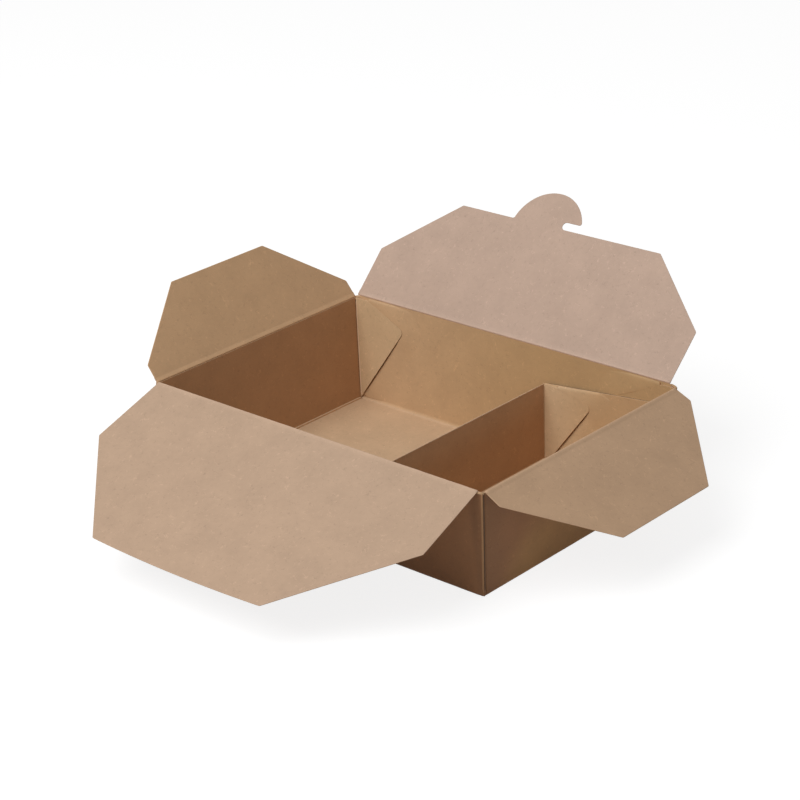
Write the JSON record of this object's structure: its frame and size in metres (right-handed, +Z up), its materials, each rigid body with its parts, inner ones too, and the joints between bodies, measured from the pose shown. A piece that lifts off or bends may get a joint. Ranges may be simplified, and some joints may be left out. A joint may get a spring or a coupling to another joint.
{
  "type": "takeaway box",
  "caption": "Kraft board takeaway food box with tapered walls, folding lid flaps with a hook tab, and a glued divider insert making a large and a small compartment.",
  "frame": {"origin": "middle of the base, on the surface that the box rests on", "axes": "+X along the long side towards the small compartment, +Y towards the flap with the hook, +Z up"},
  "size_m": [0.2721, 0.2814, 0.1114],
  "materials": {
    "tray": "matte",
    "divider_insert": "matte",
    "front_flap": "matte",
    "back_flap": "matte",
    "left_flap": "matte",
    "right_flap": "matte"
  },
  "bodies": {
    "tray": {"tray": "tray", "divider_insert": "divider_insert"},
    "front_flap": {"front_flap": "front_flap"},
    "back_flap": {"back_flap": "back_flap"},
    "left_flap": {"left_flap": "left_flap"},
    "right_flap": {"right_flap": "right_flap"}
  },
  "joints": [
    {"name": "front_crease", "type": "hinge", "parent": "tray", "child": "front_flap", "pos_m": [0, -0.0704, 0.05396], "axis": [-1, 0, 0], "range_deg": [-13.5, 200.5]},
    {"name": "back_crease", "type": "hinge", "parent": "tray", "child": "back_flap", "pos_m": [0, 0.07046, 0.05453], "axis": [1, 0, 0], "range_deg": [-89.2, 132.8]},
    {"name": "left_crease", "type": "hinge", "parent": "tray", "child": "left_flap", "pos_m": [-0.10035, 0, 0.05339], "axis": [0, 1, 0], "range_deg": [-131.3, 128.7]},
    {"name": "right_crease", "type": "hinge", "parent": "tray", "child": "right_flap", "pos_m": [0.10035, 0, 0.05339], "axis": [0, -1, 0], "range_deg": [-53.2, 206.8]}
  ]
}
